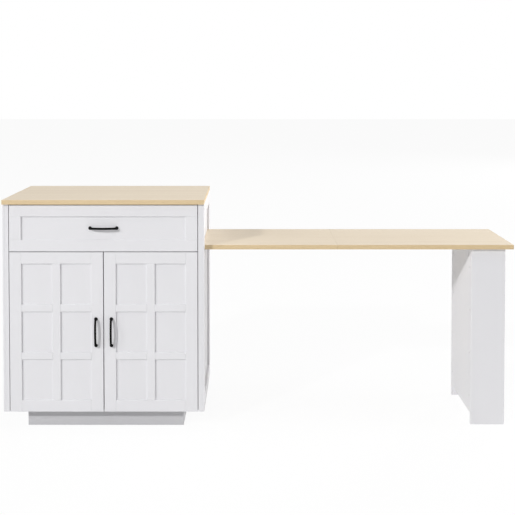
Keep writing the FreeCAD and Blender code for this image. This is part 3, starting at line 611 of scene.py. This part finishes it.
def aimed(points, start, direction):
    """Points turned from the Z axis to the direction of another axis, then moved to a start point."""
    axis = np.asarray(direction, float)
    helper = (1.0, 0.0, 0.0) if axis[2] else (0.0, 0.0, 1.0)
    side = np.cross(helper, axis)
    return start + points @ np.array([side, np.cross(axis, side), axis])


def crosshead(profile, radius, top, depth):
    """A turned profile that ends in a flat or domed face with a cross recess for a driver.

    The angles bunch round four wings. Rings inside the face sink at the wings' angles, most in the
    middle, and stay level between them, so the recess is part of the same grid as the head.
    Radius is the face's, top its height, and depth the recess's.
    """
    quarter = np.radians(screw_wing_angles)
    turn = np.concatenate([quarter + k * np.pi / 2 for k in range(4)])
    in_wing = np.tile(np.abs(np.degrees(quarter)) < screw_wing_width, 4)
    rings = [(r, np.full(turn.shape, h)) for r, h in profile]
    for share, in_wings, between in recess_rings:
        rings.append((share * radius, top - depth * np.where(in_wing, in_wings, between)))
    r = np.array([ring[0] for ring in rings])[:, None]
    height = np.array([ring[1] for ring in rings])
    return np.stack([r * np.cos(turn), r * np.sin(turn), height], -1)


def fastener(points, dome):
    """A screw, cam or bolt in the place of a CAD one, with a cross recess in its wider end.

    Its axis is the one across which it is as wide as it is high. The CAD solid's own levels along
    that axis, and the radius at each, give the profile.
    """
    low, high = points.min(0), points.max(0)
    extent = high - low
    axis = int(np.argmin([abs(extent[(i + 1) % 3] - extent[(i + 2) % 3]) for i in range(3)]))
    centre = (low + high) / 2
    radius = np.hypot(*(points[:, i] - centre[i] for i in ((axis + 1) % 3, (axis + 2) % 3)))
    along = points[:, axis].round(6)
    steps = np.unique(along)
    widest = np.array([radius[along == step].max() for step in steps])
    toward_head = 1.0
    if widest[0] > widest[-1] + same_radius:
        toward_head = -1.0
        steps = steps[::-1]
        widest = widest[::-1]
    heights = (steps - steps[-1]) * toward_head
    shank = widest[0]
    head = widest[-1]
    point_radius, point_length = screw_point
    profile = [(point_radius * shank, heights[0]), (shank, heights[0] + point_length * shank)]
    if len(steps) > 2:
        profile.append((shank, heights[1]))
        if widest[1] > shank + same_radius:
            profile.append((head, heights[1]))
    profile += [(share * head, -down * dome * head) for share, down in head_rounding]
    grid = crosshead(profile, head, 0.0, recess_depth * head)
    start = centre.copy()
    start[axis] = steps[-1]
    direction = np.zeros(3)
    direction[axis] = toward_head
    return aimed(grid, start, direction)


def crisp(name, grids, angle=sharp_angle):
    """One mesh of closed grids, smooth except where faces meet at more than an angle in degrees."""
    points = []
    faces = []
    start = 0
    for grid in grids:
        quads, first, last = closed_grid(grid, start)
        faces += quads + [first, last]
        points.append(grid.reshape(-1, 3))
        start += grid.shape[0] * grid.shape[1]
    piece = mesh_object(name, np.concatenate(points), faces, [True] * len(faces))
    merge_points(piece)
    piece.data.set_sharp_from_angle(angle=math.radians(angle))
    return piece


for node in ("carcass_screws", "drawer_screws", "left_door_screws", "right_door_screws"):
    dress(crisp(node + "_turned", [fastener(solid, screw_dome) for solid in separate_solids(node)]), node)
for node in ("carcass_fittings", "leg_fittings"):
    dress(crisp(node + "_cast", [fastener(solid, cam_dome) for solid in separate_solids(node)]), node)


def shelf_pin(points):
    """A steel pin along X with a rounded nose at both ends, each a flattened half ball."""
    low, high = points.min(0), points.max(0)
    radius = (high[2] - low[2]) / 2
    length = high[0] - low[0]
    angle = np.linspace(pin_nose_start, math.pi / 2, pin_nose_rings)
    ring = radius * np.sin(angle)
    rise = pin_nose * radius * (1 - np.cos(angle))
    profile = [*zip(ring, rise), *zip(ring[::-1], length - rise[::-1])]
    centre = (low + high) / 2
    return aimed(turned(profile, pin_sides), np.array([low[0], centre[1], centre[2]]), (1, 0, 0))


pins = [shelf_pin(solid) for solid in separate_solids("shelf_pins")]
dress(crisp("shelf_pins_rounded", pins), "shelf_pins")


# ---- door hinges ----------------------------------------------------------------------------------

def eared_rim(rim, ear_end):
    """The radius of a cup's flange at each angle: the farther of a round rim and of its two ears.

    The ears are one bar with round ends, along the angles of a quarter and three quarters of a
    turn. Its reach is up to its straight side, or past that to the circle of its end.
    """
    turn = np.linspace(0, 2 * np.pi, cup_sides, endpoint=False)
    half_width = cup_ear_half_width
    end_centre = ear_end - half_width
    to_side = half_width / np.maximum(np.abs(np.cos(turn)), cup_least_cosine)
    forward = np.abs(np.sin(turn)) * end_centre
    to_end = forward + np.sqrt(np.maximum(forward ** 2 - end_centre ** 2 + half_width ** 2, 0))
    on_side = to_side * np.abs(np.sin(turn)) < end_centre
    return np.maximum(rim, np.where(on_side, to_side, to_end))


def hinge_cup(points):
    """A pressed cup: a bowl with a rounded floor, and a flange that grows into two round ears.

    It is one grid of rings about the cup's axis: out over the back, up the wall, round the flange,
    and down the bowl's side and its rounding to the floor.
    """
    low, high = points.min(0), points.max(0)
    centre = (low + high) / 2
    steps = distinct(points[:, 1])
    back, floor, seat, top = steps[0], steps[1], steps[-2], steps[-1]
    body = points[points[:, 1] < floor + same_place]
    outer = (body[:, 0].max() - body[:, 0].min()) / 2
    inner = outer - cup_wall
    flange = eared_rim((high[0] - low[0]) / 2, (high[2] - low[2]) / 2)
    rings = [
        (cup_pole * outer, back - top),
        (outer - cup_back_bevel, back - top),
        (outer, back - top + cup_back_bevel),
        (outer, seat - top),
        (flange, seat - top),
        (flange, -cup_flange_bevel_start * (top - seat)),
        (flange - cup_flange_bevel, 0.0),
        (inner + cup_mouth_bevel, 0.0),
        (inner, -cup_mouth_bevel),
    ]
    for angle in np.linspace(0, math.pi / 2, cup_floor_rings):
        rings.append((inner - cup_floor_rounding * (1 - math.cos(angle)),
                      floor - top + cup_floor_rounding * (1 - math.sin(angle))))
    rings.append((cup_pole * outer, floor - top))
    turn = np.linspace(0, 2 * np.pi, cup_sides, endpoint=False)
    even = np.zeros(cup_sides)
    radius = np.array([ring[0] + even for ring in rings])
    height = np.array([ring[1] + even for ring in rings])
    grid = np.stack([radius * np.cos(turn), radius * np.sin(turn), height], -1)
    return aimed(grid, np.array([centre[0], top, centre[2]]), (0, 1, 0))


def box_grid(x0, x1, y0, y1, z0, z1, ease):
    """A rounded box between two corners, given in any order."""
    low = np.array([min(x0, x1), min(y0, y1), min(z0, z1)])
    high = np.array([max(x0, x1), max(y0, y1), max(z0, z1)])
    return rounded_box(low, high, ease, ease_steps)


def hinge_arm(points):
    """A cranked arm of pressed sheet: an open channel, its neck, the tip in the cup, two adjusters."""
    base, top, tip_inner, tip_outer = distinct(points[:, 0])
    cabinet_low, cabinet_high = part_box("worktop")
    toward = 1.0
    if points[:, 0].mean() > (cabinet_low.x + cabinet_high.x) / 2:
        base, top, tip_inner, tip_outer = tip_outer, tip_inner, top, base
        toward = -1.0
    tip_front, arm_front, neck_back, arm_back = distinct(points[:, 1])
    z0, z1 = distinct(points[:, 2])[[0, -1]]
    grids = [
        box_grid(top - toward * hinge_sheet, top, arm_front, arm_back, z0, z1, hinge_ease),
        box_grid(base, top, arm_front, arm_back, z0, z0 + hinge_sheet, hinge_ease),
        box_grid(base, top, arm_front, arm_back, z1 - hinge_sheet, z1, hinge_ease),
        box_grid(base, tip_outer, arm_front, neck_back, z0, z1, hinge_neck_ease),
        box_grid(tip_inner, tip_outer, tip_front, neck_back, z0, z1, hinge_neck_ease),
    ]
    end_share, end_taper = adjuster_end
    edge_share, edge_taper = adjuster_edge
    profile = [
        (end_share * adjuster_radius, -adjuster_depth),
        (adjuster_radius, end_taper - adjuster_depth),
        (adjuster_radius, adjuster_height - edge_taper),
        (edge_share * adjuster_radius, adjuster_height),
    ]
    head = crosshead(profile, adjuster_radius, adjuster_height, adjuster_recess * adjuster_radius)
    for share in adjuster_places:
        y = arm_front + share * (arm_back - arm_front)
        grids.append(aimed(head, np.array([top, y, (z0 + z1) / 2]), (toward, 0, 0)))
    return grids


def hinge_plate(points):
    """A mounting plate: the body that the arm is clamped on, and a narrower wing above and below."""
    low, high = points.min(0), points.max(0)
    third = (high[2] - low[2]) / 3
    lap = plate_lap * third
    shoulder = plate_shoulder * (high[0] - low[0])
    body = box_grid(low[0], high[0], low[1], high[1], low[2] + third - lap, high[2] - third + lap, plate_ease)
    wings = [
        box_grid(low[0], high[0], low[1] + shoulder, high[1] - shoulder, z0, z1, plate_ease)
        for z0, z1 in ((low[2], low[2] + third + lap), (high[2] - third - lap, high[2]))
    ]
    return [body] + wings


for door in ("left_door", "right_door"):
    node = door + "_hinge_cups"
    dress(crisp(node + "_pressed", [hinge_cup(solid) for solid in separate_solids(node)]), node)
arms = [grid for solid in separate_solids("door_hinge_arms") for grid in hinge_arm(solid)]
dress(crisp("door_hinge_arms_pressed", arms), "door_hinge_arms")
plates = [grid for solid in separate_solids("door_hinge_plates") for grid in hinge_plate(solid)]
dress(crisp("door_hinge_plates_cast", plates), "door_hinge_plates")


# ---- drawer runners -------------------------------------------------------------------------------

def rolled_channel(points):
    """A runner member rolled from sheet: its C-shaped section carried along its length.

    The section's middle line runs in along one flange, round a quarter turn, up the web, round a
    quarter turn and out along the other flange. The outline is that line set off by half the sheet.
    """
    low, high = points.min(0), points.max(0)
    across = distinct(points[:, 0])
    web_is_low = across[1] - across[0] < across[-1] - across[-2]
    web, lip, toward = (low[0], high[0], 1.0) if web_is_low else (high[0], low[0], -1.0)
    half_sheet = runner_sheet / 2
    radius = runner_corner - half_sheet
    half = (high[2] - low[2]) / 2 - half_sheet
    depth = abs(lip - web)
    turn = np.linspace(0, np.pi / 2, runner_corner_steps)
    arc_x = half_sheet + radius * (1 - np.sin(turn))
    arc_z = half - radius * (1 - np.cos(turn))
    line_x = np.concatenate([[depth], arc_x, arc_x[::-1], [depth]])
    line_z = np.concatenate([[half], arc_z, -arc_z[::-1], [-half]])
    tangent = np.stack([np.gradient(line_x), np.gradient(line_z)], -1)
    tangent[[0, -1]] = [(-1, 0), (1, 0)]
    tangent = tangent / np.linalg.norm(tangent, axis=1, keepdims=True)
    normal = np.stack([-tangent[:, 1], tangent[:, 0]], -1) * half_sheet
    line = np.stack([line_x, line_z], -1)
    outline = np.concatenate([line + normal, (line - normal)[::-1]])
    x = web + toward * outline[:, 0]
    z = (low[2] + high[2]) / 2 + outline[:, 1]
    ring = np.stack([x, 0 * x, z], -1)
    grid = np.stack([ring + (0, low[1], 0), ring + (0, high[1], 0)])
    return grid if toward > 0 else grid[:, ::-1]


for node in ("runner_cabinet_members", "runner_middle_members", "runner_drawer_members"):
    dress(crisp(node + "_rolled", [rolled_channel(solid) for solid in separate_solids(node)],
                runner_sharp_angle), node)


def ball_races():
    """The balls and their cages: one row above and below each side of a middle member.

    Rows outside the middle member lie along its rear, which never leaves the cabinet's member, and
    rows inside it lie along its front, which never leaves the drawer's member. Each row runs midway
    between the two flanges that it keeps apart.
    """
    angle = np.linspace(ball_pole, math.pi - ball_pole, ball_rings)
    ball = turned([*zip(ball_radius * np.sin(angle), -ball_radius * np.cos(angle))], ball_sides)
    fixed = separate_solids("runner_cabinet_members")
    moving = separate_solids("runner_drawer_members")
    balls = []
    cages = []
    for middle, outer, inner in zip(separate_solids("runner_middle_members"), fixed, moving):
        low, high = middle.min(0), middle.max(0)
        x = (low[0] + high[0]) / 2
        rear = high[1] - ball_inset - ball_row
        front = low[1] + ball_inset
        for neighbour, first in ((outer, rear), (inner, front)):
            places = np.arange(first, first + ball_row, ball_pitch)
            ends = ((-1, low, neighbour.min(0)), (1, high, neighbour.max(0)))
            for outward, own_end, other_end in ends:
                z = (own_end[2] + other_end[2] - outward * runner_sheet) / 2
                balls += [ball + (x, y, z) for y in places]
                cages.append(box_grid(x - cage_width / 2, x + cage_width / 2, first - ball_pitch / 2,
                                      places[-1] + ball_pitch / 2, z - cage_sheet / 2, z + cage_sheet / 2,
                                      cage_ease))
    return balls, cages


balls, cages = ball_races()
for name, grids in (("runner_balls", balls), ("runner_ball_cages", cages)):
    piece = crisp(name, grids, ball_sharp_angle)
    piece.data.materials.append(finishes["plated_steel"])
    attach(piece, "runner_middles")


# ---- floor, lamps and camera ----------------------------------------------------------------------

def studio_floor():
    """A wide pale floor that the camera sees as white, with part of the object's shadow kept."""
    half = floor_half
    corners = np.array([(-half, -half, 0), (half, -half, 0), (half, half, 0), (-half, half, 0)], float)
    floor = mesh_object("floor", corners, [[0, 1, 2, 3]], [False])
    tone = colour(floor_tone, floor_tone, floor_tone)
    shader = Shader("studio_floor", Base_Color=tone, Roughness=0.9)
    paint = Value(shader, shader.surface.outputs["BSDF"])
    glow = shader.add("ShaderNodeEmission", {}, {"Strength": floor_glow})
    share = shader.remap(shader.looked_at(), 0.0, 1.0, 0.0, floor_glow_share)
    blend = shader.add("ShaderNodeMixShader", {}, {0: share, 1: paint, 2: glow})
    shader.tree.links.new(blend.socket, shader.tree.nodes["Material Output"].inputs["Surface"])
    floor.data.materials.append(shader.material)


def studio_world():
    """White where the camera, a reflection or glass looks, and a softer level as light."""
    world = bpy.data.worlds.new("studio")
    bpy.context.scene.world = world
    world.use_nodes = True
    nodes = Nodes(world.node_tree)
    level = nodes.remap(nodes.looked_at(), 0.0, 1.0, ambient_level, white_level)
    background = nodes.tree.nodes["Background"]
    background.inputs["Color"].default_value = colour(1.0, 1.0, 1.0)
    nodes.tree.links.new(level.socket, background.inputs["Strength"])


def softbox(name, place, target, width, height, power):
    """A rectangular lamp at a place, turned to face a target."""
    lamp = bpy.data.lights.new(name, "AREA")
    lamp.shape = "RECTANGLE"
    lamp.size = width
    lamp.size_y = height
    lamp.energy = power
    body = bpy.data.objects.new(name, lamp)
    bpy.context.scene.collection.objects.link(body)
    body.location = place
    direction = np.array(target) - np.array(place)
    turn_z = math.atan2(direction[1], direction[0]) - math.pi / 2
    turn_x = math.atan2(direction[2], math.hypot(direction[0], direction[1])) + math.pi / 2
    body.rotation_euler = (turn_x, 0, turn_z)


def camera():
    """The photograph's camera: nearly level, with the lens shifted down to the object."""
    corner_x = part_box("worktop_edging")[0].x
    corner_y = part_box("left_door_stiles")[0].y
    data = bpy.data.cameras.new("camera")
    data.sensor_width = sensor_width
    data.lens = focal_pixels / picture_side * sensor_width
    data.shift_x = (picture_side / 2 - optical_axis_pixel[0]) / picture_side
    data.shift_y = (optical_axis_pixel[1] - picture_side / 2) / picture_side
    body = bpy.data.objects.new("camera", data)
    bpy.context.scene.collection.objects.link(body)
    body.location = (
        corner_x + camera_from_corner[0],
        corner_y + camera_from_corner[1],
        camera_from_corner[2],
    )
    body.rotation_euler = (math.pi / 2 - camera_pitch, 0, 0)
    bpy.context.scene.camera = body


studio_floor()
studio_world()
for lamp in lamps:
    softbox(*lamp)
camera()
bpy.context.scene.view_settings.view_transform = "Standard"
